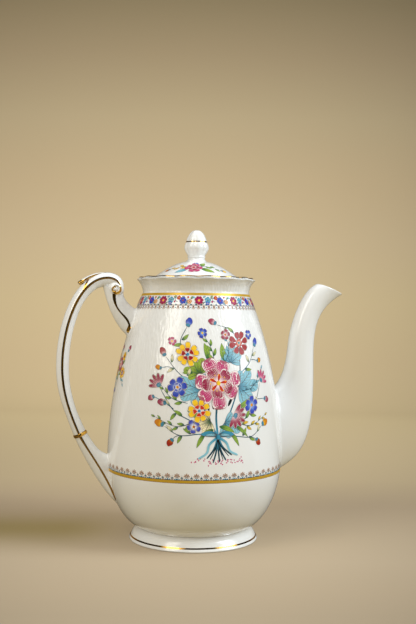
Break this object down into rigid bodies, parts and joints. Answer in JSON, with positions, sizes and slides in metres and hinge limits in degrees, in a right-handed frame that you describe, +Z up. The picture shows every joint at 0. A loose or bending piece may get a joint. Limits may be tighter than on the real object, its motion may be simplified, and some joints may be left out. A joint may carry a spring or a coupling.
{
  "type": "coffee pot",
  "caption": "Tall bone-china coffee pot with a baluster body, swan-neck spout, scrolled handle with a thumb leaf and a lift-off domed lid with a scalloped brim.",
  "frame": {"origin": "on the table, at the pot's own axis, in the plane of the foot ring", "axes": "+Z up along the axis, +X towards the spout, -X towards the handle, the painted front faces -Y"},
  "size_m": [0.225, 0.1326, 0.235],
  "materials": {
    "china": "glossy white glaze on bone china, opaque",
    "gilding": "burnished bright gold"
  },
  "bodies": {
    "pot": {"body_shell": "china", "foot_ring": "china", "neck_collar": "china", "spout_base": "china", "spout_neck": "china", "handle_bow": "china", "handle_scroll": "china", "handle_upper_root": "china", "handle_lower_root": "china", "handle_thumb_leaf": "china", "handle_band": "gilding", "neck_gold_band": "gilding", "lower_gold_band": "gilding", "foot_gold_line": "gilding", "handle_gold_lines": "gilding"},
    "lid": {"lid_dome": "china", "lid_brim": "china", "lid_flange": "china", "lid_knob": "china", "lid_gold_rim": "gilding", "knob_gold_line": "gilding"}
  },
  "joints": [
    {"name": "lid_lift", "type": "slide", "parent": "pot", "child": "lid", "axis": [0, 0, 1], "range_m": [0, 0.06]}
  ]
}
